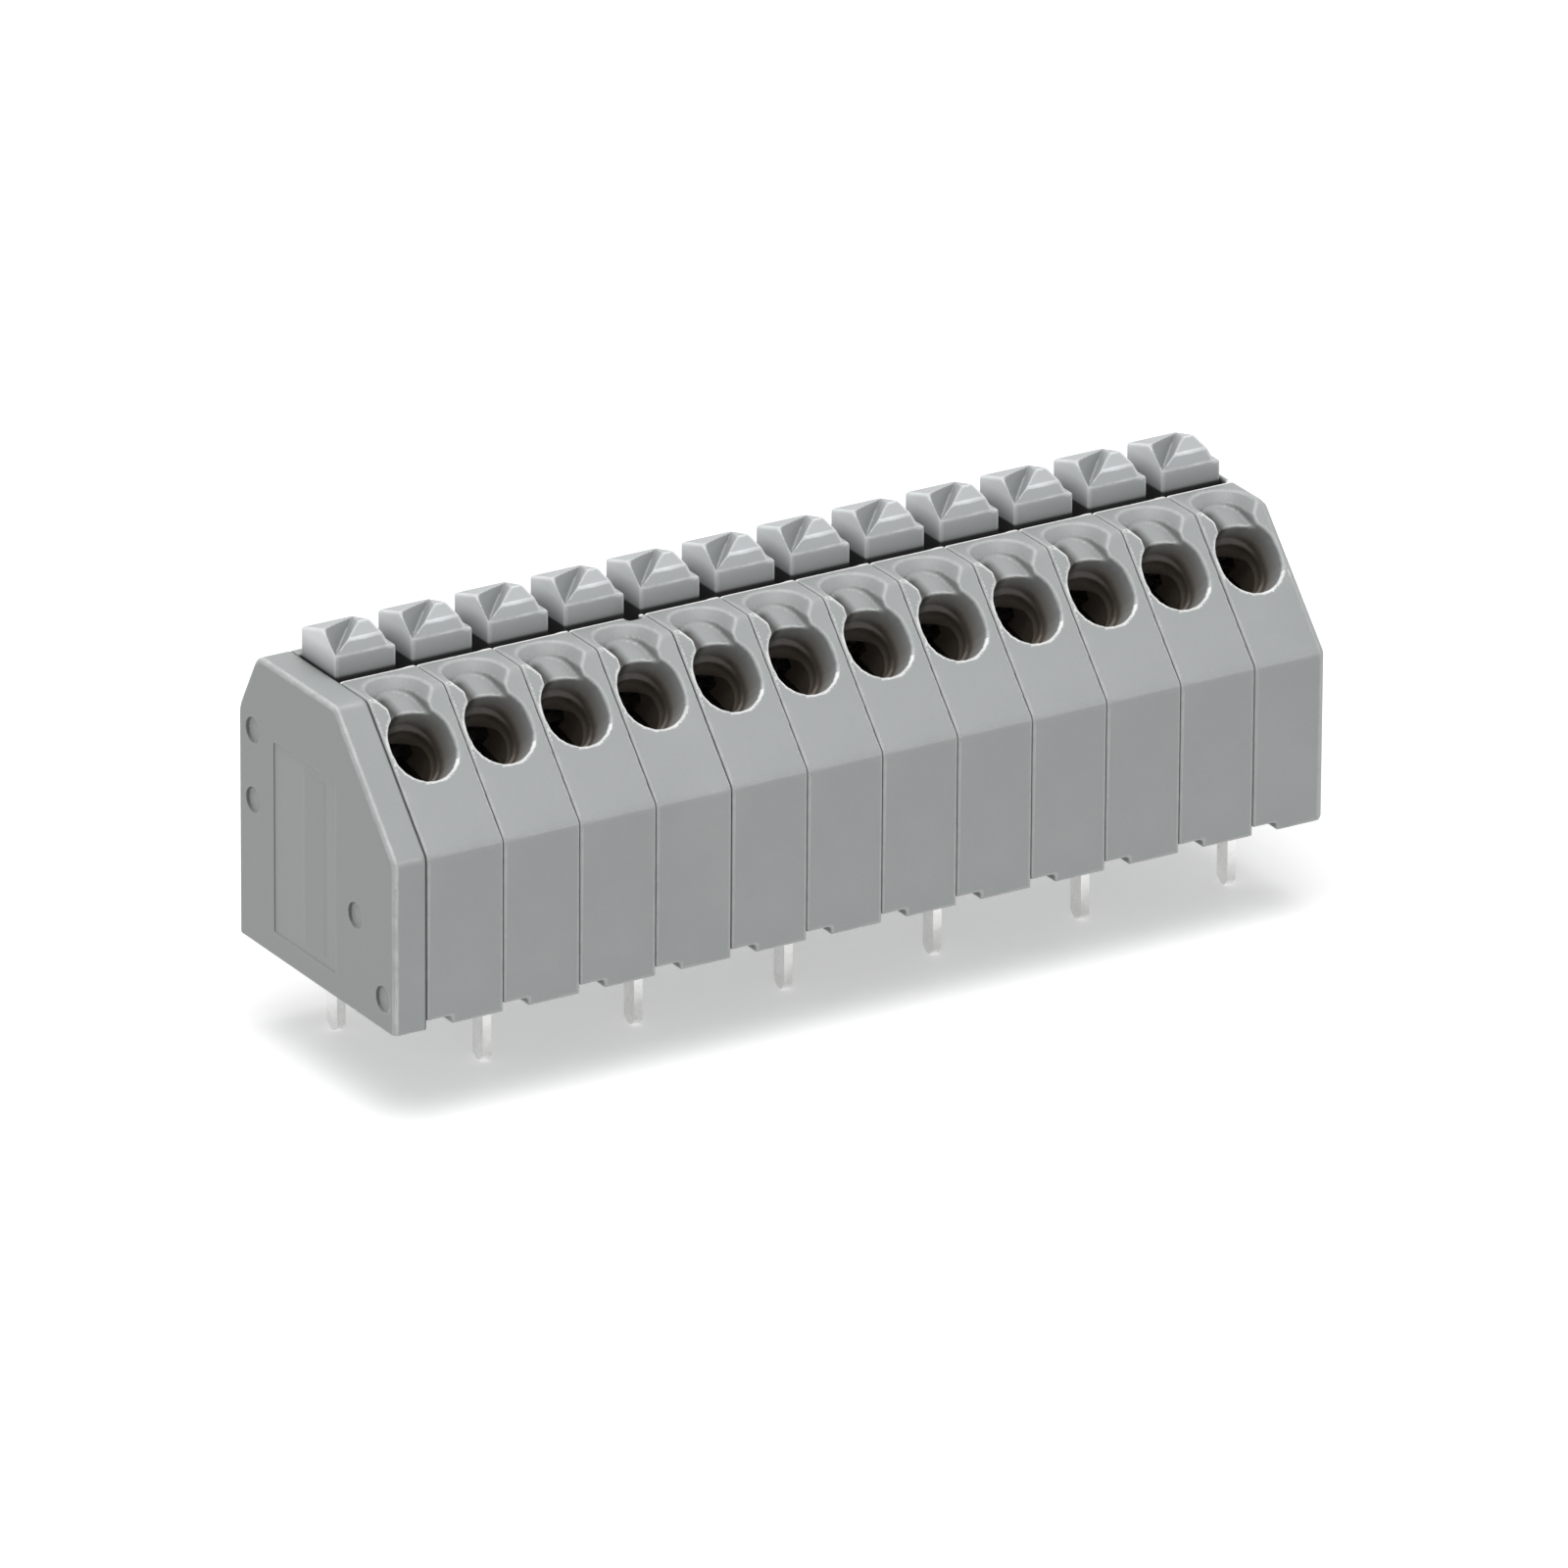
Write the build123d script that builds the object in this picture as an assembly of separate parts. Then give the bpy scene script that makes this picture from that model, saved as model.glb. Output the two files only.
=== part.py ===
from build123d import *
import os
from math import cos, hypot, pi, sin

# Twelve pole circuit board terminal strip with push buttons, in millimetres.
# Each pole is its own slab housing, open on its left and closed by a thin wall on its right.
# Row frame while drawing: x along the row from the end plate, y to the back, z up from the board.

# Row
poles = 12
pitch = 3.5
end_thick = 1.5
joint_gap = 0.02

# Side outline shared by the housings and the end plate
depth = 12.3
height = 12.4
front_height = 7.35
slope_run = 0.378 * depth
rear_bevel_run = 1.45
rear_bevel_drop = 2.6
shoulder_round = 0.45
brow_round = 0.5
crown_round = 0.7
heel_round = 1.3
end_edge_break = 0.12
last_edge_break = 0.35

# Housing walls
side_wall = 0.5
front_wall = 1.0
rear_wall = 1.75
floor_thick = 0.9
land_thick = 2.8
mouth_depth = 2.3
toe_wall = 0.55
toe_wall_h = 2.2

# Button recess in the top
stop_depth = 1.55
stop_undercut = 0.4
recess_front = 0.5675 * depth
recess_rear = depth - rear_wall - stop_undercut
rail_drop = 1.3
rim_break = 0.12

# Wire entry on the slope, placed by its share of the slope's length
entry_x = 1.64
entry_share = 0.67
entry_r = 1.2
mouth_share = 0.673
mouth_half_w = 1.4
mouth_half_l = 1.6
mouth_taper = 6.0
round_sides = 20
funnel_depth = 1.5

# Scooped pocket above the wire entry, cut down through the brow, its floor falling to the front
pocket_half_w = 0.88
pocket_bevel = 0.43
pocket_y = slope_run + 0.55
pocket_front = slope_run - 0.65
pocket_deep = 1.7
floor_rear_drop = 0.47
floor_fall = 0.27

# Small notch in the wall between two of the buttons
notch_pole = 4
notch_w = 0.65
notch_d = 0.45
notch_h = 0.5
notch_x = 2.6

# Front foot, raised over part of each pole
toe_w = 1.15
toe_h = 0.35
toe_d = 1.0

# Snap pegs and their sockets, as y and z centres
peg_r = 0.42
peg_long = 0.4
peg_clear = 0.05
peg_back = depth - 1.15
peg_at = [(peg_back, 9.1), (peg_back, 6.1), (3.08, 4.1), (0.92, 1.3)]
rib_h = 1.1
dimple_r = 0.53
dimple_deep = 0.14
dimple_sides = 16
panel_deep = 0.06
panel_front = 4.6
panel_rear = depth - 2.8
panel_low = 1.0
panel_high = 9.2

# Button
left_clear = 0.06
right_clear = 0.16
front_clear = 0.27
rear_clear = 0.15
button_drop = 2.55
button_ledge = 0.87
crown_front = 0.54
crown_front_run = 0.24
crown_top = 0.84
crown_top_run = 1.1
crown_rear = 0.34
right_ledge = 0.28
flank_run = 0.36
flange_thick = 0.85
flange_gap = 0.03
flange_reach = 0.12
travel = 1.0
slot_angle = 42.0
slot_climb = 7.0
slot_left_rise = 33.0
slot_right_rise = 29.0
slot_base = 0.34
slot_floor_r = 0.2
plunger_w = 0.7
plunger_front = 0.45
plunger_d = 1.2

# Contact
contact_thick = 0.4
contact_left = 1.05
web_clear = 0.02
strip_gap = 0.78
strip_start = 3.5
strip_end = 0.561 * depth
web_front = 5.4
web_rear = 0.7317 * depth
foot_level = 0.02
pin_w = 0.8
pin_t = 0.4
pin_below = 4.0
pin_x = 1.57
pin_front_y = 4.4
pin_rear_y = depth - 2.4
pin_clear = 0.06
pin_tip = 0.28

# Clamping spring
leaf = 0.25
leaf_left = 0.2
leaf_right = 2.35
leaf_seat = 0.02
loop_y = 5.3
loop_r = 1.15
loop_bends = 5
leaf_back = depth - 2.7
leaf_tip_gap = 0.04
plunger_gap = 0.03

slope_rise = height - front_height
slope_len = hypot(slope_run, slope_rise)
up_y = slope_run / slope_len
up_z = slope_rise / slope_len
entry_up = entry_share * slope_len
mouth_up = mouth_share * slope_len
row_length = end_thick + poles * pitch
cavity_w = pitch - side_wall
leaf_low = floor_thick + foot_level + contact_thick + leaf_seat


def yz_face(points, x):
    return Pos(x, 0, 0) * (Plane.YZ * make_face(Polyline(*points, close=True)))


def yz_block(points, x, width):
    return extrude(yz_face(points, x), amount=width, dir=(1, 0, 0))


def box(x0, x1, y0, y1, z0, z1):
    centre = Pos((x0 + x1) / 2, (y0 + y1) / 2, (z0 + z1) / 2)
    return centre * Box(x1 - x0, y1 - y0, z1 - z0)


def near(shape, y, z):
    return shape.vertices().filter_by(lambda v: abs(v.X - y) < 1e-6 and abs(v.Y - z) < 1e-6)


# Side outline with its rounded corners, drawn flat
def outline():
    rear_y = depth - rear_bevel_run
    rear_z = height - rear_bevel_drop
    corners = [(0, 0), (0, front_height), (slope_run, height),
               (rear_y, height), (depth, rear_z), (depth, 0)]
    flat = make_face(Polyline(*corners, close=True))
    rounds = [(0, front_height, shoulder_round), (slope_run, height, brow_round),
              (rear_y, height, crown_round), (depth, rear_z, heel_round)]
    for y, z, r in rounds:
        flat = fillet(near(flat, y, z), r)
    return flat


def slab(x, width):
    return extrude(Pos(x, 0, 0) * (Plane.YZ * outline()), amount=width, dir=(1, 0, 0))


def break_side(body, x, amount):
    side = body.faces().filter_by(Axis.X).sort_by(lambda f: abs(f.center().X - x))[0]
    edges = side.outer_wire().edges().filter_by(lambda e: e.center().Z > 0.01)
    return chamfer(edges, amount)


def peg(x0, x1, y, z, r, sides=6):
    face = Plane.YZ * (Pos(y, z) * RegularPolygon(r, sides))
    return extrude(Pos(x0, 0, 0) * face, amount=x1 - x0, dir=(1, 0, 0))


def slope_plane(x, up, lift=0.0):
    y = up * up_y - lift * up_z
    z = front_height + up * up_z + lift * up_y
    return Plane(origin=(x, y, z), x_dir=(1, 0, 0), z_dir=(0, -up_z, up_y))


# Hollow inside one housing, open to the left
def cavity(x):
    z_top = height + 1
    under = height - land_thick
    line_z = front_height - mouth_depth / up_y
    wall_z = line_z + front_wall * slope_rise / slope_run
    land_y = (under - line_z) * slope_run / slope_rise
    stop_z = height - stop_depth
    stop_y = recess_rear + stop_undercut
    toe_y = front_wall + toe_wall
    points = [(toe_y, floor_thick), (toe_y, toe_wall_h), (front_wall, toe_wall_h),
              (front_wall, wall_z), (land_y, under),
              (recess_front, under), (recess_front, height - rim_break),
              (recess_front - rim_break, height), (recess_front - rim_break, z_top),
              (recess_rear, z_top), (recess_rear, stop_z), (stop_y, stop_z), (stop_y, floor_thick)]
    return yz_block(points, x - 1, cavity_w + 1)


# Oblong ring of flats, two half rounds joined by straight sides
def oblong(half_w, half_l):
    steps = round_sides // 2
    turns = [pi * n / steps for n in range(steps + 1)]
    reach = half_l - half_w
    upper = [(half_w * cos(t), reach + half_w * sin(t)) for t in turns]
    lower = [(-y, -z) for y, z in upper]
    return make_face(Polyline(*upper, *lower, close=True))


# Wire entry: straight round bore under a longer oblong mouth with leaning walls
def wire_entry(x):
    at = slope_plane(x + entry_x, entry_up)
    bore = extrude(at * Circle(entry_r), amount=-(mouth_depth + 1.5))
    lip = slope_plane(x + entry_x, mouth_up) * oblong(mouth_half_w, mouth_half_l)
    mouth = extrude(lip, amount=-funnel_depth, taper=mouth_taper)
    above = extrude(lip, amount=0.8)
    return bore + mouth + above


# Pocket open to the front, with a wide bevelled rim on the top and a falling floor
def pocket(x):
    reach = pocket_y - pocket_front
    centre = Pos(x + entry_x, pocket_y - reach / 2, height)
    rim_half = pocket_half_w + pocket_bevel
    wide = centre * oblong(rim_half, reach / 2 + rim_half)
    rim = extrude(wide, amount=-pocket_bevel, taper=45)
    above = extrude(wide, amount=0.5)
    narrow = extrude(centre * oblong(pocket_half_w, reach / 2 + pocket_half_w), amount=-pocket_deep)
    rear = pocket_y + pocket_half_w
    front = pocket_front - 2 * pocket_half_w
    high = height - floor_rear_drop
    low = high - floor_fall * (rear - front)
    over_floor = [(front, low), (rear + 0.1, high), (rear + 0.1, height + 1), (front, height + 1)]
    return rim + above + (narrow & yz_block(over_floor, x, pitch))


def pin_slot(x, y):
    reach = pin_clear
    px = x + pin_x
    return box(px - pin_t / 2 - reach, px + pin_t / 2 + reach,
               y - pin_w / 2 - reach, y + pin_w / 2 + reach, -1, floor_thick + 1)


# One pole housing with its rib, pegs and sockets; the last one is closed on its right
def housing(last):
    x = end_thick
    left = x + joint_gap / 2
    body = slab(left, pitch - joint_gap)
    if last:
        body = break_side(body, left + pitch - joint_gap, last_edge_break)
    body -= cavity(x)
    rib_y, rib_z = peg_at[2]
    body += box(left, x + cavity_w + 0.1, front_wall - 0.1, rib_y + rib_h / 2,
                rib_z - rib_h / 2, rib_z + rib_h / 2)
    body -= wire_entry(x)
    body -= pocket(x)
    body -= pin_slot(x, pin_front_y)
    body -= pin_slot(x, pin_rear_y)
    body -= box(x - 1, x + toe_w, -1, toe_d, -1, toe_h)
    if not last:
        body -= box(x + cavity_w - 0.1, x + pitch + 1, recess_front, recess_rear,
                    height - rail_drop, height + 1)
    for y, z in peg_at:
        body += peg(left - peg_long, left + 0.1, y, z, peg_r)
        if not last:
            body -= peg(x + cavity_w, x + pitch + 1, y, z, peg_r + peg_clear)
    return body


def notched(body):
    x = end_thick + notch_x
    y = recess_front
    return body - box(x, x + notch_w, y - notch_d, y + 1, height - notch_h, height + 1)


# End plate with dimples and a shallow panel outside, sockets inside
def end_plate():
    body = slab(0, end_thick - joint_gap / 2)
    body = break_side(body, 0, end_edge_break)
    for y, z in peg_at:
        body -= peg(end_thick - peg_long - 0.1, end_thick + 1, y, z, peg_r + peg_clear)
        body -= peg(-1, dimple_deep, y, z, dimple_r, dimple_sides)
    body -= box(-1, panel_deep, panel_front, panel_rear, panel_low, panel_high)
    raised_rear = panel_front + 0.52 * (panel_rear - panel_front)
    body += box(panel_deep / 2, panel_deep + 0.2, panel_front + 0.9, raised_rear,
                panel_low + 0.4, panel_high - 0.4)
    return body


# Push button: guided block, crowned top with a slanting driver slot, rear stop and plunger
def button():
    x = end_thick
    x0 = x + left_clear
    x1 = x + cavity_w - right_clear
    y0 = recess_front + front_clear
    y1 = recess_rear - rear_clear
    low = height - button_drop
    ledge = height + button_ledge
    body = box(x0, x1, y0, y1, low, ledge)
    body += crown(x0, x1, y0, y1, ledge) - driver_slot(x0, y0, ledge)
    stop_z = height - stop_depth - flange_gap
    stop_y = recess_rear + stop_undercut - flange_reach
    body += box(x0, x1, y1 - 0.5, stop_y, stop_z - flange_thick, stop_z)
    body += plunger(x0, y0, low)
    return body


# Crown: roof profile along the button, with a leaning right flank
def crown(x0, x1, y0, y1, ledge):
    right = x1 - right_ledge
    side = [(y0, ledge - 0.2), (y0, ledge), (y0 + crown_front_run, ledge + crown_front),
            (y0 + crown_top_run, ledge + crown_top), (y1, ledge + crown_rear), (y1, ledge - 0.2)]
    roof = yz_block(side, x0, right - x0)
    flank = make_face(Polyline((right + 0.01, 0), (right + 0.01, crown_top + 0.1),
                               (right - flank_run, crown_top + 0.1), close=True))
    cut = extrude(Pos(0, y0 - 1, ledge) * (Plane.XZ * flank), amount=y1 - y0 + 2, dir=(0, 1, 0))
    return roof - cut


# Driver slot: wide uneven V that starts low at the front left corner and climbs to the crest
def driver_slot(x0, y0, ledge):
    reach = 1.6
    right = reach / tan_deg(slot_right_rise)
    left = -reach / tan_deg(slot_left_rise)
    vee = make_face(Polyline((0, 0), (right, reach), (left, reach), close=True))
    vee = fillet(near(vee, 0, 0), slot_floor_r)
    bar = extrude(Plane.XZ * vee, amount=8, both=True)
    return Pos(x0, y0, ledge + slot_base) * Rot(0, 0, -slot_angle) * Rot(slot_climb, 0, 0) * bar


def tan_deg(angle):
    return sin(angle * pi / 180) / cos(angle * pi / 180)


# Height of the spring leaf's upper face at one y
def leaf_top(y):
    (ya, za), (yb, zb) = leaf_line()
    return za + (y - ya) * (zb - za) / (yb - ya)


def plunger(x0, y0, low):
    ya = y0 + plunger_front
    yb = ya + plunger_d
    foot = [(ya, low + 0.1), (ya, leaf_top(ya) + plunger_gap), (yb, leaf_top(yb) + plunger_gap),
            (yb, low + 0.1)]
    return yz_block(foot, x0, plunger_w)


# Point along the wire's path, offset to its upper side
def on_wire(along, above):
    cy = entry_up * up_y + along * up_z + above * up_y
    cz = front_height + entry_up * up_z - along * up_y + above * up_z
    return (cy, cz)


# Upper line of the clamping leaf, from the loop to its tip under the contact strip
def leaf_line():
    tip = on_wire(strip_end - 0.7, strip_gap - leaf_tip_gap)
    start = (loop_y, leaf_low + 2 * loop_r + leaf)
    return (start, tip)


# Contact: clamping strip, side web, foot and solder pin
def contact(pin_y):
    x = end_thick
    right = x + cavity_w - web_clear
    left = x + contact_left
    strip = [on_wire(strip_start, strip_gap), on_wire(strip_start, strip_gap + contact_thick),
             on_wire(strip_end, strip_gap + contact_thick), on_wire(strip_end, strip_gap)]
    body = yz_block(strip, left, right - left)
    foot_z = floor_thick + foot_level
    mid_y, mid_z = on_wire((strip_start + strip_end) / 2 - 0.6, strip_gap + contact_thick)
    end_y, end_z = on_wire(strip_end - 0.2, strip_gap + contact_thick)
    web = [(web_front, foot_z), (web_front, mid_z - 0.4), (mid_y, mid_z), (end_y, end_z),
           (web_rear, end_z - 1.0), (web_rear, foot_z)]
    body += yz_block(web, right - contact_thick, contact_thick)
    fy0 = min(pin_y - pin_w / 2, web_front)
    fy1 = max(pin_y + pin_w / 2, web_rear)
    body += box(x + pin_x - pin_t / 2, right, fy0, fy1, foot_z, foot_z + contact_thick)
    body += solder_pin(x + pin_x, pin_y, foot_z)
    return body


def solder_pin(px, py, top):
    w = pin_w / 2
    tip = -pin_below
    flat = [(py - w, top + 0.1), (py - w, tip + pin_tip), (py - w + pin_tip, tip),
            (py + w - pin_tip, tip), (py + w, tip + pin_tip), (py + w, top + 0.1)]
    return yz_block(flat, px - pin_t / 2, pin_t)


# Half turn of the spring's loop in flat bends, from its foot to its upper leaf
def loop_points(radius):
    centre_z = leaf_low + leaf / 2 + loop_r
    turns = [pi * (0.5 + n / loop_bends) for n in range(loop_bends + 1)]
    return [(loop_y + radius * cos(t), centre_z - radius * sin(t)) for t in turns]


# Clamping spring bent from one leaf: foot, loop and upper leaf
def spring_face():
    (ya, za), (yb, zb) = leaf_line()
    span = hypot(yb - ya, zb - za)
    tip_in = (yb + leaf * (zb - za) / span, zb - leaf * (yb - ya) / span)
    outer = loop_points(loop_r + leaf / 2)
    inner = loop_points(loop_r - leaf / 2)
    points = [(leaf_back, leaf_low), *outer, (yb, zb), tip_in, *reversed(inner),
              (leaf_back, leaf_low + leaf)]
    return make_face(Polyline(*points, close=True))


def spring():
    x = end_thick + leaf_left
    return extrude(Pos(x, 0, 0) * (Plane.YZ * spring_face()), amount=leaf_right - leaf_left, dir=(1, 0, 0))


def save(name, body):
    body = Pos(-row_length / 2, -depth / 2, 0) * body
    export_step(body, "parts/" + name + ".step")


# Every pole is drawn once in the first place, then copied along the row
def main():
    os.makedirs("parts", exist_ok=True)
    save("end_plate", end_plate())
    plain = housing(False)
    special = {notch_pole: notched(plain), poles: housing(True)}
    push = button()
    contacts = [contact(pin_rear_y), contact(pin_front_y)]
    leaf_spring = spring()
    for index in range(poles):
        place = Pos(index * pitch, 0, 0)
        tag = "_%02d" % (index + 1)
        save("pole_housing" + tag, place * special.get(index + 1, plain))
        save("push_button" + tag, place * push)
        save("contact" + tag, place * contacts[index % 2])
        save("clamp_spring" + tag, place * leaf_spring)


main()
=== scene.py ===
from math import cos, radians, sin

import bmesh
import bpy
from mathutils import Matrix, Vector


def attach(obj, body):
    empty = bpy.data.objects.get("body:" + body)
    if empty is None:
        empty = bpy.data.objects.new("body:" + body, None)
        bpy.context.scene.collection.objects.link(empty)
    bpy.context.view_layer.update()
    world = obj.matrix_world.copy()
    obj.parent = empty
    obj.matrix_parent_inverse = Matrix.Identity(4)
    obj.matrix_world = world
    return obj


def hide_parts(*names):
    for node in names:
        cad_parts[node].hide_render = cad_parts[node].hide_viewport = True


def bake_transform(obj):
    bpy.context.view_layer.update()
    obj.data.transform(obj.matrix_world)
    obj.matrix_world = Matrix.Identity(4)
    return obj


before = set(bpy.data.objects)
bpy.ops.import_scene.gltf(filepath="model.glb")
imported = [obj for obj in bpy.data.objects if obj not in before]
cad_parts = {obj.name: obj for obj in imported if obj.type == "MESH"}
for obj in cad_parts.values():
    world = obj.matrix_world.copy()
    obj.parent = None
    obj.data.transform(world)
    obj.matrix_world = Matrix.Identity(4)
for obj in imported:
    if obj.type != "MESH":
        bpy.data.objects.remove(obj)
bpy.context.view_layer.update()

MM = 0.001

# Strip: x across the poles, y to the back, z up from the board
POLES = 12
PLAIN_POLE = 2
NOTCHED_POLE = 4
PITCH = 3.5 * MM
FIRST_POLE = -20.25 * MM
PIN_TIP = -4.0 * MM
TOP = 12.4 * MM
FRONT = -6.15 * MM
SLOPE_FOOT = 7.35 * MM
SLOPE_RUN = 4.65 * MM
SLOPE_RISE = TOP - SLOPE_FOOT
PLATE_THICK = 1.5 * MM
PLATE_ROLL = 0.45 * MM

# Wire entry: its centre across the pole and up the slope, and the radius its gloom keeps to
ENTRY_ACROSS = 1.64 * MM
MOUTH_UP = 4.62 * MM
BORE_REACH = 1.66 * MM
LIP_RADII = (1.2 * MM, 1.9 * MM)
SLAB_EDGE = -1.53 * MM

# Button in its recess, with the driver slot as moulded and as worn deeper: start, left and right rise
RECESS_FRONT = FRONT + 6.98 * MM
BUTTON_LEFT = FIRST_POLE + 0.06 * MM
BUTTON_FRONT = RECESS_FRONT + 0.27 * MM
BUTTON_LEDGE = TOP + 0.87 * MM
SLOT_TURN = 42.0
SLOT_CLIMB = 0.12
SLOT_MOULDED = (0.34 * MM, 0.65, 0.554)
SLOT_WORN = (0.05 * MM, 1.15, 1.2)
SLOT_PRESS = 0.3 * MM

# Clamping leaf: the heights between which it bends, and the lengths it is cut into
LEAF_ROOT = 3.9 * MM
LEAF_PRESSED = 6.45 * MM
LEAF_LENGTHS = 14

# Colours of painted shade, painted shadow and painted highlights, and of the dark seam
DEEP_SHADE = (0.03, 0.025, 0.02)
NEAR_SHADE = (0.02, 0.02, 0.02)
FOOT_SHADE = (0.012, 0.011, 0.01)
SLOT_SHADE = (0.12, 0.13, 0.13)
LOW_FRONT_SHADE = (0.16, 0.165, 0.165)
CHEEK_HIGHLIGHT = (0.9, 0.92, 0.93)
RECESS_EDGE_HIGHLIGHT = (0.92, 0.92, 0.9)
PLATE_RECESS_SHADOW = (0.05, 0.052, 0.05)
END_FACE_SHADE = (0.14, 0.145, 0.145)
SEAM_DARK = (0.04, 0.04, 0.038)
BORE_SHADE_BROWN = (0.26, 0.21, 0.17)
POCKET_SHADE = (0.04, 0.038, 0.035)


# Camera at the photograph's viewing angle, from the row's front left and above
def add_camera():
    turn = radians(-31.299)
    lift = radians(22.861)
    roll = radians(0.325)
    sight = Vector((-sin(turn) * cos(lift), cos(turn) * cos(lift), -sin(lift)))
    level = sight.cross(Vector((0, 0, 1))).normalized()
    over = level.cross(sight)
    across = level * cos(roll) + over * sin(roll)
    upward = over * cos(roll) - level * sin(roll)
    target = Vector((0, 0, 6.0 * MM))
    place = target + across * (-0.121 * MM) + upward * (-1.887 * MM) - sight * (824.218 * MM)
    camera = bpy.data.cameras.new("view_camera")
    camera.sensor_width = 36.0
    camera.lens = 36.0 * 21027.657 / 1600
    camera.clip_start = 0.05
    camera.clip_end = 10.0
    view = bpy.data.objects.new("view_camera", camera)
    turned = Matrix((across, upward, -sight)).transposed()
    view.matrix_world = Matrix.Translation(place) @ turned.to_4x4()
    bpy.context.scene.collection.objects.link(view)
    bpy.context.scene.camera = view


def add_lamp(name, size, power, place, aim):
    lamp = bpy.data.lights.new(name, "AREA")
    lamp.shape = "RECTANGLE"
    lamp.size, lamp.size_y = size
    lamp.energy = power
    holder = bpy.data.objects.new(name, lamp)
    holder.location = place
    holder.rotation_euler = (Vector(aim) - Vector(place)).to_track_quat("-Z", "Y").to_euler()
    bpy.context.scene.collection.objects.link(holder)


# World that lights evenly and shows as white behind the strip
def set_world():
    world = bpy.data.worlds.new("studio_surround")
    world.use_nodes = True
    bpy.context.scene.world = world
    nodes = world.node_tree.nodes
    links = world.node_tree.links
    nodes.clear()
    out = nodes.new("ShaderNodeOutputWorld")
    light = nodes.new("ShaderNodeBackground")
    light.inputs["Color"].default_value = (0.975, 0.985, 0.98, 1)
    light.inputs["Strength"].default_value = 0.385
    white = nodes.new("ShaderNodeBackground")
    white.inputs["Color"].default_value = (1, 1, 1, 1)
    white.inputs["Strength"].default_value = 1.0
    path = nodes.new("ShaderNodeLightPath")
    either = nodes.new("ShaderNodeMath")
    either.operation = "MAXIMUM"
    third = nodes.new("ShaderNodeMath")
    third.operation = "MAXIMUM"
    links.new(path.outputs["Is Camera Ray"], either.inputs[0])
    links.new(path.outputs["Is Transmission Ray"], either.inputs[1])
    links.new(either.outputs[0], third.inputs[0])
    links.new(path.outputs["Is Glossy Ray"], third.inputs[1])
    mix = nodes.new("ShaderNodeMixShader")
    links.new(third.outputs[0], mix.inputs["Fac"])
    links.new(light.outputs[0], mix.inputs[1])
    links.new(white.outputs[0], mix.inputs[2])
    links.new(mix.outputs[0], out.inputs["Surface"])


# Pale bench under the pin tips, drawn white to the camera but still shaded by the strip
def add_floor():
    mesh = bpy.data.meshes.new("bench")
    form = bmesh.new()
    bmesh.ops.create_grid(form, x_segments=2, y_segments=2, size=1.5)
    form.to_mesh(mesh)
    form.free()
    bench = bpy.data.objects.new("bench", mesh)
    bench.location = (0, 0, PIN_TIP - 0.02 * MM)
    bpy.context.scene.collection.objects.link(bench)
    paper = bpy.data.materials.new("white_paper_bench")
    paper.use_nodes = True
    nodes = paper.node_tree.nodes
    links = paper.node_tree.links
    shader = nodes["Principled BSDF"]
    shader.inputs["Base Color"].default_value = (0.8, 0.8, 0.8, 1)
    shader.inputs["Roughness"].default_value = 0.9
    shader.inputs["Specular IOR Level"].default_value = 0.1
    shader.inputs["Emission Strength"].default_value = 1.0
    path = nodes.new("ShaderNodeLightPath")
    seen = nodes.new("ShaderNodeMath")
    seen.operation = "MAXIMUM"
    links.new(path.outputs["Is Camera Ray"], seen.inputs[0])
    links.new(path.outputs["Is Glossy Ray"], seen.inputs[1])
    glow = nodes.new("ShaderNodeMapRange")
    glow.inputs["To Max"].default_value = 0.4
    links.new(seen.outputs[0], glow.inputs["Value"])
    links.new(glow.outputs[0], shader.inputs["Emission Color"])
    mesh.materials.append(paper)


# Shader node group made with named sockets
def new_group(name, inputs, outputs):
    group = bpy.data.node_groups.new(name, "ShaderNodeTree")
    for label, kind, value in inputs:
        socket = group.interface.new_socket(label, in_out="INPUT", socket_type=kind)
        socket.default_value = value
    for label, kind in outputs:
        group.interface.new_socket(label, in_out="OUTPUT", socket_type=kind)
    source = group.nodes.new("NodeGroupInput")
    result = group.nodes.new("NodeGroupOutput")
    return group, source, result


FLOAT = "NodeSocketFloat"


def noise(tree, scale, detail=3.0, rough=0.5):
    node = tree.nodes.new("ShaderNodeTexNoise")
    node.inputs["Scale"].default_value = scale
    node.inputs["Detail"].default_value = detail
    node.inputs["Roughness"].default_value = rough
    return node


def math_node(tree, kind, first, second=None, clamp=False):
    node = tree.nodes.new("ShaderNodeMath")
    node.operation = kind
    node.use_clamp = clamp
    for slot, value in enumerate((first, second)):
        if value is None:
            continue
        if isinstance(value, (int, float)):
            node.inputs[slot].default_value = value
        else:
            tree.links.new(value, node.inputs[slot])
    return node.outputs[0]


def remap(tree, value, low, high, to_low, to_high):
    node = tree.nodes.new("ShaderNodeMapRange")
    tree.links.new(value, node.inputs["Value"])
    for label, number in (("From Min", low), ("From Max", high), ("To Min", to_low), ("To Max", to_high)):
        node.inputs[label].default_value = number
    return node.outputs[0]


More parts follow.
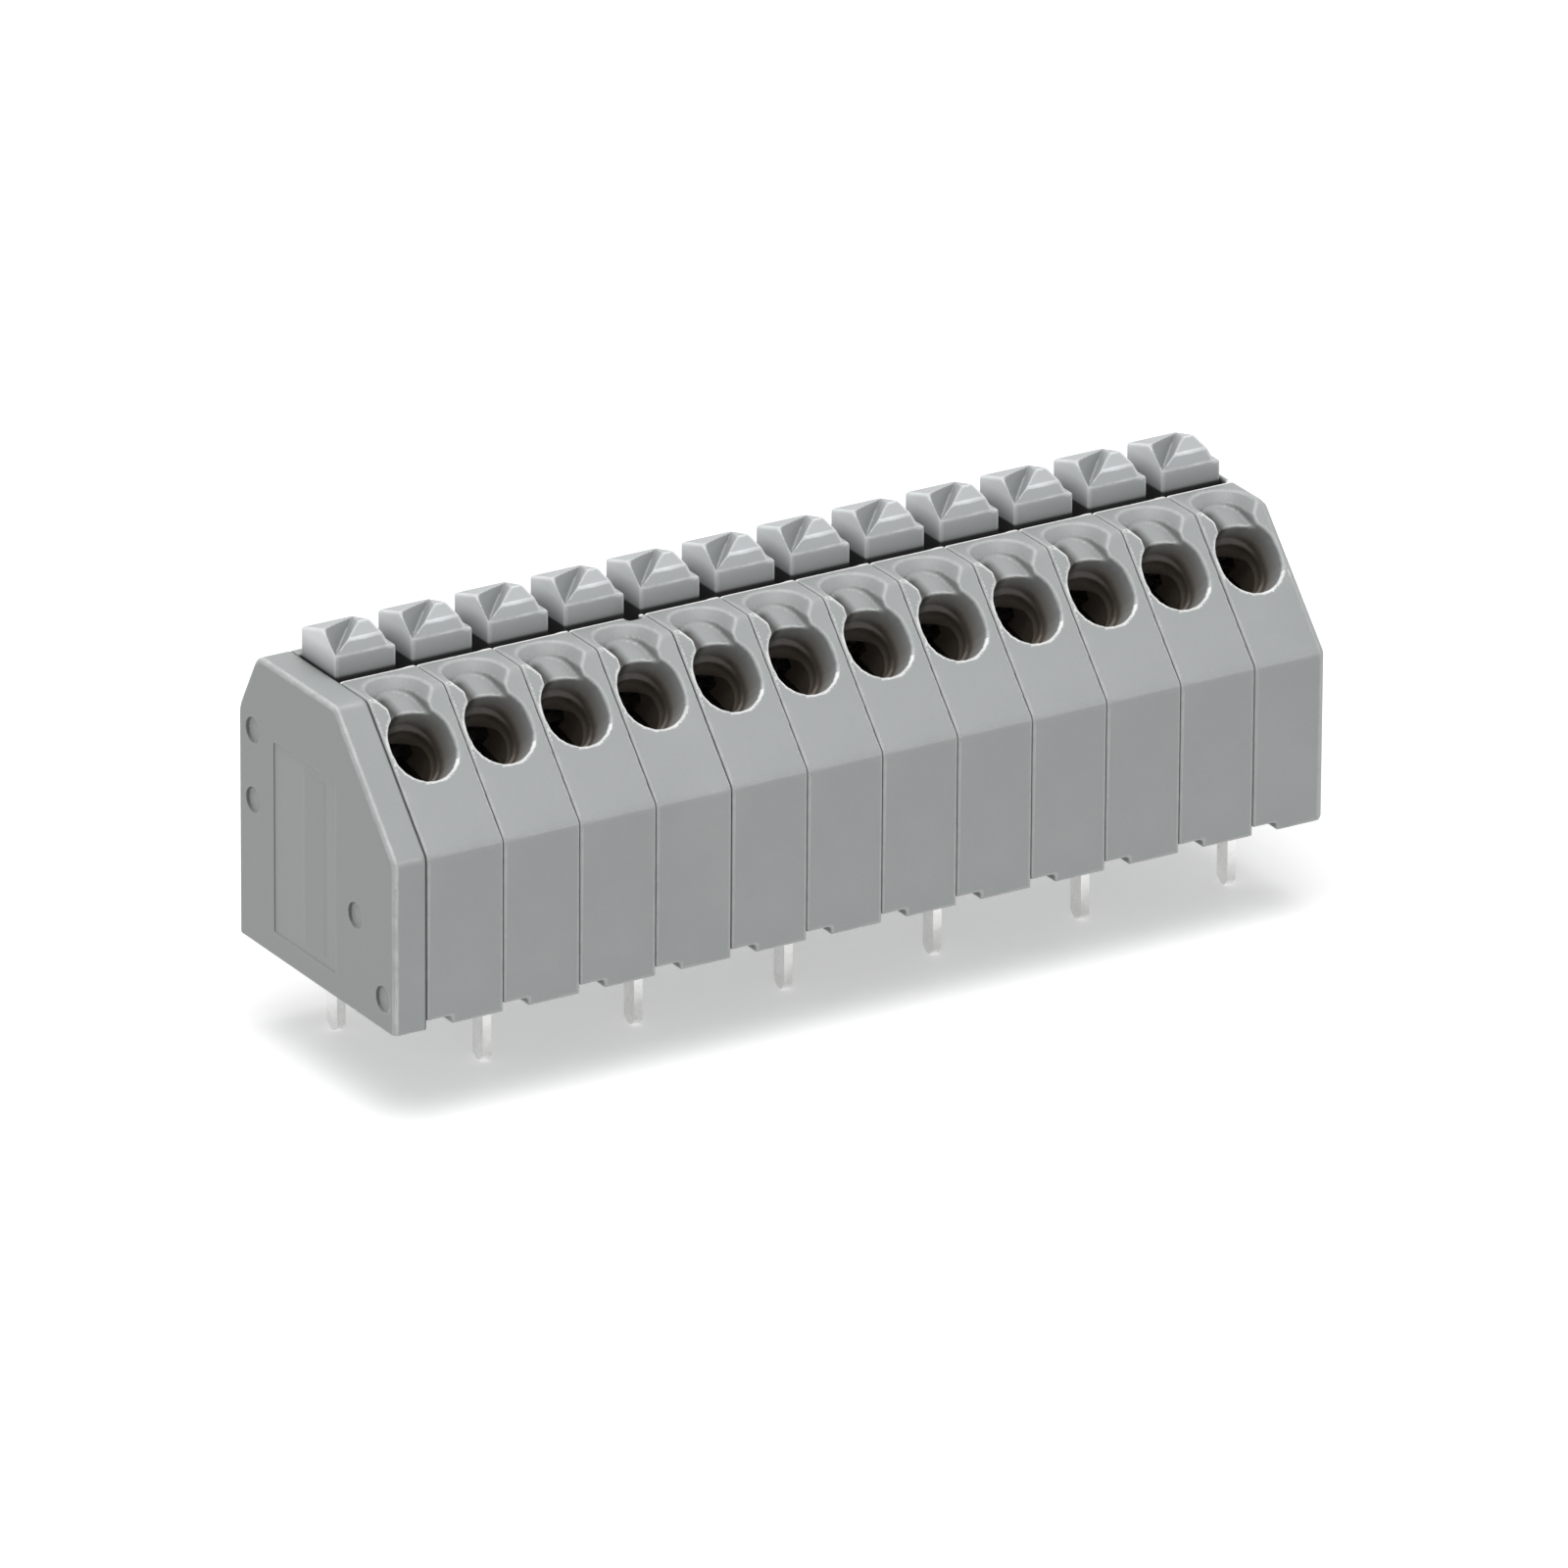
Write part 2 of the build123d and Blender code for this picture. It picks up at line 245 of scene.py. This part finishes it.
# Moulded surface: fine spark grain, slow flow tone and tool marks along the row
def moulded_group():
    group, source, result = new_group(
        "moulded_skin",
        [("Grain Size", FLOAT, 9000.0), ("Flow Size", FLOAT, 260.0)],
        [("Height", FLOAT), ("Tone", FLOAT), ("Gloss", FLOAT)])
    place = group.nodes.new("ShaderNodeTexCoord")
    links = group.links
    fine = noise(group, 9000.0, 4.0, 0.6)
    flow = noise(group, 260.0, 3.0, 0.5)
    links.new(place.outputs["Object"], fine.inputs["Vector"])
    links.new(place.outputs["Object"], flow.inputs["Vector"])
    links.new(source.outputs["Grain Size"], fine.inputs["Scale"])
    links.new(source.outputs["Flow Size"], flow.inputs["Scale"])
    streak = noise(group, 400.0, 4.0, 0.6)
    stretch = group.nodes.new("ShaderNodeMapping")
    stretch.inputs["Scale"].default_value = (6.0, 0.6, 0.6)
    links.new(place.outputs["Object"], stretch.inputs["Vector"])
    links.new(stretch.outputs[0], streak.inputs["Vector"])
    height = math_node(group, "ADD", fine.outputs["Fac"],
                       math_node(group, "MULTIPLY", streak.outputs["Fac"], 0.4))
    links.new(height, result.inputs["Height"])
    tone = math_node(group, "ADD", remap(group, flow.outputs["Fac"], 0.3, 0.7, -0.5, 0.5),
                     remap(group, fine.outputs["Fac"], 0.3, 0.7, -0.25, 0.25))
    links.new(tone, result.inputs["Tone"])
    gloss = remap(group, flow.outputs["Fac"], 0.3, 0.7, 0.0, 1.0)
    links.new(gloss, result.inputs["Gloss"])
    return group


# Painted edge highlights: the rolled edge faces carry the attribute rim, broken up in small patches
def edge_highlight_group():
    group, source, result = new_group(
        "painted_edge_highlights",
        [("Break Size", FLOAT, 1500.0), ("Break Up", FLOAT, 0.5)],
        [("Edge", FLOAT)])
    links = group.links
    rim = group.nodes.new("ShaderNodeAttribute")
    rim.attribute_name = "rim"
    place = group.nodes.new("ShaderNodeTexCoord")
    highlight_breaks = noise(group, 1500.0, 3.0, 0.6)
    links.new(source.outputs["Break Size"], highlight_breaks.inputs["Scale"])
    links.new(place.outputs["Object"], highlight_breaks.inputs["Vector"])
    broken_up = remap(group, highlight_breaks.outputs["Fac"], 0.35, 0.65, 0.0, 1.0)
    lost = math_node(group, "MULTIPLY", broken_up, source.outputs["Break Up"])
    left = math_node(group, "SUBTRACT", 1.0, lost, True)
    links.new(math_node(group, "MULTIPLY", rim.outputs["Fac"], left), result.inputs["Edge"])
    return group


# Shade that gathers where walls stand close together, near and wide
def crevice_group():
    group, source, result = new_group(
        "crevice_shade",
        [("Near Reach", FLOAT, 0.4 * MM), ("Wide Reach", FLOAT, 2.6 * MM)],
        [("Near", FLOAT), ("Wide", FLOAT)])
    for label, low, high in (("Near", 0.25, 0.9), ("Wide", 0.1, 0.85)):
        closeness = group.nodes.new("ShaderNodeAmbientOcclusion")
        closeness.samples = 2
        group.links.new(source.outputs[label + " Reach"], closeness.inputs["Distance"])
        group.links.new(remap(group, closeness.outputs["AO"], low, high, 1.0, 0.0), result.inputs[label])
    return group


# Painted shade that small grooves hold: the faces in them carry the attribute groove
def groove_shade_group():
    group, source, result = new_group("painted_groove_shade", [("Share", FLOAT, 0.6)], [("Shade", FLOAT)])
    groove = group.nodes.new("ShaderNodeAttribute")
    groove.attribute_name = "groove"
    shade_share = math_node(group, "MULTIPLY", groove.outputs["Fac"], source.outputs["Share"])
    group.links.new(shade_share, result.inputs["Shade"])
    return group


def new_material(name):
    material = bpy.data.materials.new(name)
    material.use_nodes = True
    return material, material.node_tree, material.node_tree.nodes["Principled BSDF"]


def place_group(tree, group, **values):
    node = tree.nodes.new("ShaderNodeGroup")
    node.node_tree = group
    for label, value in values.items():
        node.inputs[label.replace("_", " ")].default_value = value
    return node


def mix_colour(tree, factor, first, second):
    node = tree.nodes.new("ShaderNodeMix")
    node.data_type = "RGBA"
    if isinstance(factor, (int, float)):
        node.inputs["Factor"].default_value = factor
    else:
        tree.links.new(factor, node.inputs["Factor"])
    for socket, value in ((node.inputs[6], first), (node.inputs[7], second)):
        if isinstance(value, tuple):
            socket.default_value = (*value, 1)
        else:
            tree.links.new(value, socket)
    return node.outputs[2]


# Colour of moulded plastic: flow tone, painted highlights on rolled edges and painted shade in its
# crevices
def plastic_colour(tree, skin, base, dark, light, near_shade, wide_shade):
    edges = place_group(tree, EDGE_HIGHLIGHTS)
    crevice = place_group(tree, CREVICE)
    tone = remap(tree, skin.outputs["Tone"], -0.7, 0.7, 0.0, 1.0)
    body = mix_colour(tree, tone, dark, base)
    deep = math_node(tree, "MULTIPLY", crevice.outputs["Wide"], wide_shade)
    near = math_node(tree, "MULTIPLY", crevice.outputs["Near"], near_shade)
    shaded = mix_colour(tree, deep, body, DEEP_SHADE)
    shaded = mix_colour(tree, near, shaded, NEAR_SHADE)
    return mix_colour(tree, math_node(tree, "MULTIPLY", edges.outputs["Edge"], 0.9), shaded, light)


# Object coordinate of a point along one axis
def coordinate(tree, axis):
    place = tree.nodes.new("ShaderNodeTexCoord")
    parts = tree.nodes.new("ShaderNodeSeparateXYZ")
    tree.links.new(place.outputs["Object"], parts.inputs[0])
    return parts.outputs[axis]


# Distance of a point from a start, along one direction of the object
def along(tree, direction, start):
    place = tree.nodes.new("ShaderNodeTexCoord")
    dot = tree.nodes.new("ShaderNodeVectorMath")
    dot.operation = "DOT_PRODUCT"
    dot.inputs[1].default_value = direction
    tree.links.new(place.outputs["Object"], dot.inputs[0])
    return math_node(tree, "SUBTRACT", dot.outputs["Value"], start)


def times(tree, *shares):
    product = shares[0]
    for share in shares[1:]:
        product = math_node(tree, "MULTIPLY", product, share)
    return product


def painted_groove_shade(tree, share):
    return place_group(tree, GROOVE_SHADE, Share=share).outputs["Shade"]


# Painted shade as a dark line at the foot of a button and on its low front, a painted highlight on its
# left cheek, painted shade in its slot
def button_light_and_shade(tree, colour):
    height = coordinate(tree, "Z")
    place = tree.nodes.new("ShaderNodeTexCoord")
    facing = tree.nodes.new("ShaderNodeSeparateXYZ")
    tree.links.new(place.outputs["Normal"], facing.inputs[0])
    lit_cheek = times(tree, remap(tree, facing.outputs["X"], -0.9, -0.4, 1.0, 0.0),
                  remap(tree, height, TOP + 0.1 * MM, BUTTON_LEDGE + 0.2 * MM, 0.0, 1.0))
    colour = mix_colour(tree, lit_cheek, colour, CHEEK_HIGHLIGHT)
    low_front_shade = times(tree, remap(tree, facing.outputs["Y"], -0.9, -0.5, 1.0, 0.0),
                      remap(tree, height, TOP, BUTTON_LEDGE - 0.05 * MM, 0.45, 0.0))
    colour = mix_colour(tree, low_front_shade, colour, LOW_FRONT_SHADE)
    foot_shade = remap(tree, height, TOP - 0.04 * MM, TOP + 0.07 * MM, 0.92, 0.0)
    colour = mix_colour(tree, foot_shade, colour, FOOT_SHADE)
    return mix_colour(tree, painted_groove_shade(tree, 0.6), colour, SLOT_SHADE)


# Painted shadow in the small recesses of the end plate, painted shade on its end face, and the dark seam
# at the first pole
def plate_shade_and_seam(tree, colour):
    colour = mix_colour(tree, painted_groove_shade(tree, 0.8), colour, PLATE_RECESS_SHADOW)
    x = coordinate(tree, "X")
    outside = FIRST_POLE - PLATE_THICK
    end_face_shade = remap(tree, x, outside + 0.04 * MM, outside + 0.08 * MM, 0.2, 0.0)
    colour = mix_colour(tree, end_face_shade, colour, END_FACE_SHADE)
    seam = remap(tree, x, FIRST_POLE - 0.13 * MM, FIRST_POLE - 0.07 * MM, 0.0, 0.8)
    return mix_colour(tree, seam, colour, SEAM_DARK)


# Painted highlight strip along the front edge of the buttons' recess, and gloom in the entries
def recess_highlight_and_gloom(tree, colour):
    y = coordinate(tree, "Y")
    strip = remap(tree, y, RECESS_FRONT - 0.3 * MM, RECESS_FRONT - 0.2 * MM, 0.0, 1.0)
    inside = remap(tree, y, RECESS_FRONT + 0.05 * MM, RECESS_FRONT + 0.15 * MM, 1.0, 0.0)
    on_top = remap(tree, coordinate(tree, "Z"), TOP - 0.14 * MM, TOP - 0.06 * MM, 0.0, 1.0)
    highlight_breaks = noise(tree, 2600.0, 3.0, 0.6)
    place = tree.nodes.new("ShaderNodeTexCoord")
    tree.links.new(place.outputs["Object"], highlight_breaks.inputs["Vector"])
    whole = remap(tree, highlight_breaks.outputs["Fac"], 0.28, 0.42, 0.35, 1.0)
    colour = mix_colour(tree, times(tree, strip, inside, on_top, whole), colour, RECESS_EDGE_HIGHLIGHT)
    return entry_gloom(tree, colour)


# Painted brown shade that deepens down a wire entry, and painted shade under the left rim of its pocket
def entry_gloom(tree, colour):
    slope = Vector((SLOPE_RUN, SLOPE_RISE)).normalized()
    up = along(tree, (0, slope.x, slope.y), FRONT * slope.x + SLOPE_FOOT * slope.y + MOUTH_UP)
    depth = along(tree, (0, slope.y, -slope.x), FRONT * slope.y - SLOPE_FOOT * slope.x)
    pole = math_node(tree, "FLOORED_MODULO", along(tree, (1, 0, 0), FIRST_POLE), PITCH)
    across = math_node(tree, "SUBTRACT", pole, ENTRY_ACROSS)
    square = math_node(tree, "ADD", times(tree, across, across), times(tree, up, up))
    away = math_node(tree, "SQRT", square)
    in_bore = times(tree, remap(tree, away, BORE_REACH, BORE_REACH + 0.1 * MM, 1.0, 0.0),
                    remap(tree, up, 0.9 * MM, 1.7 * MM, 1.0, 0.0),
                    remap(tree, depth, 7.0 * MM, 8.0 * MM, 1.0, 0.0))
    bore = times(tree, remap(tree, depth, 0.35 * MM, 1.6 * MM, 0.0, 0.96), in_bore)
    colour = mix_colour(tree, bore, colour, BORE_SHADE_BROWN)
    step = times(tree, remap(tree, depth, 1.0 * MM, 1.4 * MM, 0.0, 0.75),
                 remap(tree, depth, 1.7 * MM, 2.1 * MM, 1.0, 0.0), in_bore)
    colour = mix_colour(tree, step, colour, DEEP_SHADE)
    in_pocket = times(tree, remap(tree, depth, 2.5 * MM, 3.0 * MM, 1.0, 0.0),
                      remap(tree, across, -1.5 * MM, -1.4 * MM, 0.0, 1.0),
                      remap(tree, up, 0.8 * MM, 1.1 * MM, 0.0, 1.0),
                      remap(tree, up, 2.4 * MM, 2.8 * MM, 1.0, 0.0),
                      remap(tree, coordinate(tree, "Z"), TOP - 0.2 * MM, TOP - 0.08 * MM, 1.0, 0.0))
    under_rim = times(tree, remap(tree, depth, 0.12 * MM, 0.4 * MM, 0.0, 1.0), in_pocket,
                      remap(tree, across, -0.42 * MM, 0.0, 0.97, 0.0))
    return mix_colour(tree, under_rim, colour, POCKET_SHADE)


# Grey polyamide of the housings and the buttons
def grey_plastic(name, base, dark, light, rough, near_shade, wide_shade, shade_highlight_and_seam_marks):
    material, tree, shader = new_material(name)
    links = tree.links
    skin = place_group(tree, MOULDED)
    colour = plastic_colour(tree, skin, base, dark, light, near_shade, wide_shade)
    # Painted shade and highlights of each part, and the dark seam of the end plate
    links.new(shade_highlight_and_seam_marks(tree, colour), shader.inputs["Base Color"])
    matt = remap(tree, skin.outputs["Gloss"], 0.0, 1.0, rough, rough + 0.08)
    links.new(matt, shader.inputs["Roughness"])
    bump = tree.nodes.new("ShaderNodeBump")
    bump.inputs["Strength"].default_value = 0.24
    bump.inputs["Distance"].default_value = 0.00003
    links.new(skin.outputs["Height"], bump.inputs["Height"])
    links.new(bump.outputs[0], shader.inputs["Normal"])
    shader.inputs["Specular IOR Level"].default_value = 0.45
    return material


# Tin plated copper of the contacts and their pins, with painted shade on the parts inside the housing
def tinned(name):
    material, tree, shader = new_material(name)
    links = tree.links
    skin = place_group(tree, MOULDED, Grain_Size=5000.0, Flow_Size=700.0)
    tone = remap(tree, skin.outputs["Tone"], -0.7, 0.7, 0.0, 1.0)
    # Painted shade on the contact where it stands inside the housing
    inside = remap(tree, coordinate(tree, "Z"), -0.3 * MM, 0.3 * MM, 0.0, 0.85)
    bright = mix_colour(tree, tone, (0.74, 0.74, 0.725), (0.92, 0.92, 0.91))
    links.new(mix_colour(tree, inside, bright, (0.1, 0.09, 0.08)), shader.inputs["Base Color"])
    links.new(remap(tree, skin.outputs["Gloss"], 0.0, 1.0, 0.22, 0.34), shader.inputs["Roughness"])
    bump = tree.nodes.new("ShaderNodeBump")
    bump.inputs["Strength"].default_value = 0.2
    bump.inputs["Distance"].default_value = 0.00002
    links.new(skin.outputs["Height"], bump.inputs["Height"])
    links.new(bump.outputs[0], shader.inputs["Normal"])
    shader.inputs["Metallic"].default_value = 1.0
    return material


# Spring steel leaf with a drawn grain
def spring_steel(name):
    material, tree, shader = new_material(name)
    links = tree.links
    place = tree.nodes.new("ShaderNodeTexCoord")
    draw = tree.nodes.new("ShaderNodeMapping")
    draw.inputs["Scale"].default_value = (40.0, 1.0, 1.0)
    links.new(place.outputs["Object"], draw.inputs["Vector"])
    lines = noise(tree, 300.0, 4.0, 0.6)
    links.new(draw.outputs[0], lines.inputs["Vector"])
    tone = lines.outputs["Fac"]
    links.new(mix_colour(tree, tone, (0.2, 0.195, 0.19), (0.34, 0.335, 0.33)), shader.inputs["Base Color"])
    links.new(remap(tree, tone, 0.3, 0.7, 0.45, 0.6), shader.inputs["Roughness"])
    bump = tree.nodes.new("ShaderNodeBump")
    bump.inputs["Strength"].default_value = 0.15
    bump.inputs["Distance"].default_value = 0.00001
    links.new(tone, bump.inputs["Height"])
    links.new(bump.outputs[0], shader.inputs["Normal"])
    shader.inputs["Metallic"].default_value = 1.0
    return material


MOULDED = moulded_group()
EDGE_HIGHLIGHTS = edge_highlight_group()
CREVICE = crevice_group()
GROOVE_SHADE = groove_shade_group()
HOUSING_GREY = grey_plastic("housing_grey", (0.395, 0.41, 0.41), (0.35, 0.365, 0.365),
                            (0.92, 0.93, 0.92), 0.42, 0.28, 0.7, recess_highlight_and_gloom)
PLATE_GREY = grey_plastic("end_plate_grey", (0.385, 0.4, 0.4), (0.345, 0.36, 0.36),
                          (0.8, 0.81, 0.81), 0.42, 0.8, 0.7, plate_shade_and_seam)
BUTTON_GREY = grey_plastic("button_grey", (0.47, 0.485, 0.495), (0.42, 0.435, 0.442),
                           (0.88, 0.9, 0.91), 0.38, 0.3, 0.15, button_light_and_shade)
CONTACT_TIN = tinned("contact_tin")
LEAF_STEEL = spring_steel("leaf_steel")


def dress(node, material):
    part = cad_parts[node]
    part.data.materials.clear()
    part.data.materials.append(material)


def linked_object(name, mesh):
    piece = bpy.data.objects.new(name, mesh)
    bpy.context.scene.collection.objects.link(piece)
    return piece


# Mesh as it looks after an object's modifiers
def settled_mesh(piece, name):
    seen = piece.evaluated_get(bpy.context.evaluated_depsgraph_get())
    mesh = bpy.data.meshes.new_from_object(seen)
    mesh.name = name
    bpy.data.objects.remove(piece)
    return mesh


# Painted highlight on sharp lips: the left and lower side of a wire entry, and the left rim of its pocket
def housing_edge_highlight(point):
    slope = Vector((SLOPE_RUN, SLOPE_RISE)).normalized()
    y = point.y - FRONT
    z = point.z - SLOPE_FOOT
    across = (point.x - FIRST_POLE) % PITCH - ENTRY_ACROSS
    up = y * slope.x + z * slope.y - MOUTH_UP
    depth = y * slope.y - z * slope.x
    away = Vector((across, up)).length
    if away < LIP_RADII[1] and up < 1.4 * MM and depth > 0.4 * MM:
        return 0.0
    if across < SLAB_EDGE:
        return 0.2
    on_mouth = -0.2 * MM < depth < 0.3 * MM and LIP_RADII[0] < away < LIP_RADII[1]
    if on_mouth and (across < -0.2 * MM or up < -0.9 * MM):
        return 1.0
    return 1.0 if 1.0 * MM < up < 2.3 * MM and across < -0.5 * MM else 0.25


# Height of a driver slot's V at a point of a button
def slot_floor(point, slot):
    start, left_rise, right_rise = slot
    turn = radians(SLOT_TURN)
    x = point.x - BUTTON_LEFT
    y = point.y - BUTTON_FRONT
    along_slot = y * cos(turn) + x * sin(turn)
    across_slot = x * cos(turn) - y * sin(turn)
    rise = right_rise if across_slot > 0 else left_rise
    return BUTTON_LEDGE + start + along_slot * SLOT_CLIMB + abs(across_slot) * rise


# Rim: painted highlight share of a face, by how tightly the outer edge at it is rolled. Groove: painted
# shade share of a face
def mark_faces(mesh, edge_highlight_share, groove_share=None, first=2.0, full=5.0):
    form = bmesh.new()
    form.from_mesh(mesh)
    rim = form.faces.layers.float.new("rim")
    groove = form.faces.layers.float.new("groove")
    for face in form.faces:
        tight = 0.0
        size = face.calc_area() * 4 / 3
        for edge in face.edges:
            if len(edge.link_faces) == 2:
                turn = edge.calc_face_angle_signed(0.0) * MM
                tight = max(tight, turn * max(edge.calc_length(), 1e-7) / max(size, 1e-12))
        share = max(0.0, min(1.0, (tight - first) / (full - first)))
        middle = face.calc_center_median()
        face[rim] = share * edge_highlight_share(middle)
        face[groove] = groove_share(middle, face.normal) if groove_share else 0.0
    form.to_mesh(mesh)
    form.free()


# Painted highlight on a button's ridges, less on its upright corners
def button_edge_highlight(point):
    return 0.75 if point.z > BUTTON_LEDGE else 0.5


# Painted shade on the crown faces in a button's driver slot
def button_groove_shade(point, facing):
    if facing.z < 0.2 or point.z < BUTTON_LEDGE:
        return 0.0
    floor = min(slot_floor(point, SLOT_WORN), slot_floor(point, SLOT_MOULDED))
    return max(0.0, min(1.0, 1.0 - (floor - point.z) / (0.06 * MM)))


# How far a point of the end plate lies inside its outline
def plate_inset(point):
    y = point.y - FRONT
    slope = Vector((SLOPE_RISE, SLOPE_RUN)).normalized()
    under_slope = y * slope.x - (point.z - SLOPE_FOOT) * slope.y
    return min(y, under_slope, TOP - point.z, point.z, -FRONT - point.y)


# Painted highlight on the end plate's rolled outline, faint elsewhere, none at its seam with the first
# pole
def plate_edge_highlight(point):
    if point.x > FIRST_POLE - 0.3 * MM:
        return 0.0
    return 0.55 if plate_inset(point) < PLATE_ROLL else 0.1


# Painted shadow on the walls of the shallow recesses that face the front
def plate_groove_shade(point, facing):
    far_in = point.x > FIRST_POLE - PLATE_THICK + 0.3 * MM
    if plate_inset(point) < PLATE_ROLL or far_in or facing.x < -0.93:
        return 0.0
    return max(0.0, min(1.0, 0.15 - facing.y * 1.3))


# Cast a CAD piece in fine cells and soften it, so that its edges roll over as moulded ones do
def cast_mesh(node, cell, steps, faces, name, material, edge_highlight_share, carve=None, **marks):
    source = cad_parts[node].data.copy()
    blank = linked_object(name + "_blank", source)
    weld = blank.modifiers.new("weld", "WELD")
    weld.merge_threshold = 0.002 * MM
    cells = blank.modifiers.new("cells", "REMESH")
    cells.mode = "VOXEL"
    cells.voxel_size = cell
    cells.adaptivity = 0.0
    soften = blank.modifiers.new("soften", "SMOOTH")
    soften.factor = 0.5
    soften.iterations = steps
    dense = settled_mesh(blank, name + "_dense")
    if carve:
        carve(dense)
    count = len(dense.polygons) * 2
    thin = linked_object(name + "_thin", dense)
    fewer = thin.modifiers.new("fewer", "DECIMATE")
    fewer.ratio = min(1.0, faces / count)
    weigh = thin.modifiers.new("weigh", "WEIGHTED_NORMAL")
    weigh.weight = 50
    for face in dense.polygons:
        face.use_smooth = True
    mesh = settled_mesh(thin, name)
    mesh.materials.clear()
    mesh.materials.append(material)
    mark_faces(mesh, edge_highlight_share, **marks)
    return mesh


# Wear the driver slot a little deeper into a button's crown, down to its ledge
def wear_slot(mesh):
    for point in mesh.vertices:
        if point.co.z > BUTTON_LEDGE - 0.1 * MM:
            lowered = max(slot_floor(point.co, SLOT_WORN), point.co.z - SLOT_PRESS)
            point.co.z = min(point.co.z, lowered)


# Piece that shows a cast mesh in the place of a CAD node
def moulded_piece(name, mesh, shift, node, body):
    piece = linked_object(name, mesh)
    piece.location = (shift, 0, 0)
    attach(piece, body)
    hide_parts(node)


# Clamping leaf cut into short lengths, where it bends down under the plunger of its button
def bending_leaf(number):
    tag = "_%02d" % number
    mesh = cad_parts["clamp_spring" + tag].data.copy()
    form = bmesh.new()
    form.from_mesh(mesh)
    for step in range(LEAF_LENGTHS + 1):
        level = LEAF_ROOT + (LEAF_PRESSED - LEAF_ROOT) * step / LEAF_LENGTHS
        bmesh.ops.bisect_plane(form, geom=form.verts[:] + form.edges[:] + form.faces[:],
                               plane_co=(0, 0, level), plane_no=(0, 0, 1))
    form.to_mesh(mesh)
    form.free()
    mesh.materials.clear()
    mesh.materials.append(LEAF_STEEL)
    leaf = linked_object("bending_leaf" + tag, mesh)
    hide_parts("clamp_spring" + tag)
    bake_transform(leaf)


bpy.context.scene.view_settings.view_transform = "Standard"
add_camera()
set_world()
add_floor()
add_lamp("overhead_softbox", (0.45, 0.45), 2.4, (-0.06, -0.08, 0.52), (0, 0, 0.005))
add_lamp("left_fill", (0.4, 0.4), 0.03, (-0.7, -0.35, 0.2), (0, 0, 0.005))

housing_mesh = cast_mesh("pole_housing_%02d" % PLAIN_POLE, 0.06 * MM, 12, 30000,
                         "pole_housing_cast", HOUSING_GREY, housing_edge_highlight)
notched_mesh = cast_mesh("pole_housing_%02d" % NOTCHED_POLE, 0.06 * MM, 12, 30000,
                         "notched_housing_cast", HOUSING_GREY, housing_edge_highlight)
last_mesh = cast_mesh("pole_housing_%02d" % POLES, 0.06 * MM, 12, 30000,
                      "last_housing_cast", HOUSING_GREY, housing_edge_highlight)
button_mesh = cast_mesh("push_button_01", 0.04 * MM, 30, 14000, "push_button_cast", BUTTON_GREY,
                        button_edge_highlight, wear_slot, groove_share=button_groove_shade, first=1.5, full=4.0)
plate_mesh = cast_mesh("end_plate", 0.05 * MM, 10, 30000, "end_plate_cast", PLATE_GREY,
                       plate_edge_highlight, groove_share=plate_groove_shade)

for number in range(1, POLES + 1):
    tag = "_%02d" % number
    dress("contact" + tag, CONTACT_TIN)
    dress("clamp_spring" + tag, LEAF_STEEL)
    dress("pole_housing" + tag, HOUSING_GREY)
    dress("push_button" + tag, BUTTON_GREY)
    mesh, drawn_at = housing_mesh, PLAIN_POLE
    if number == NOTCHED_POLE:
        mesh, drawn_at = notched_mesh, NOTCHED_POLE
    if number == POLES:
        mesh, drawn_at = last_mesh, POLES
    moulded_piece("moulded_housing" + tag, mesh, PITCH * (number - drawn_at), "pole_housing" + tag,
                  "strip")
    moulded_piece("moulded_button" + tag, button_mesh, PITCH * (number - 1), "push_button" + tag,
                  "button" + tag)
    bending_leaf(number)
dress("end_plate", PLATE_GREY)
moulded_piece("moulded_end_plate", plate_mesh, 0.0, "end_plate", "strip")
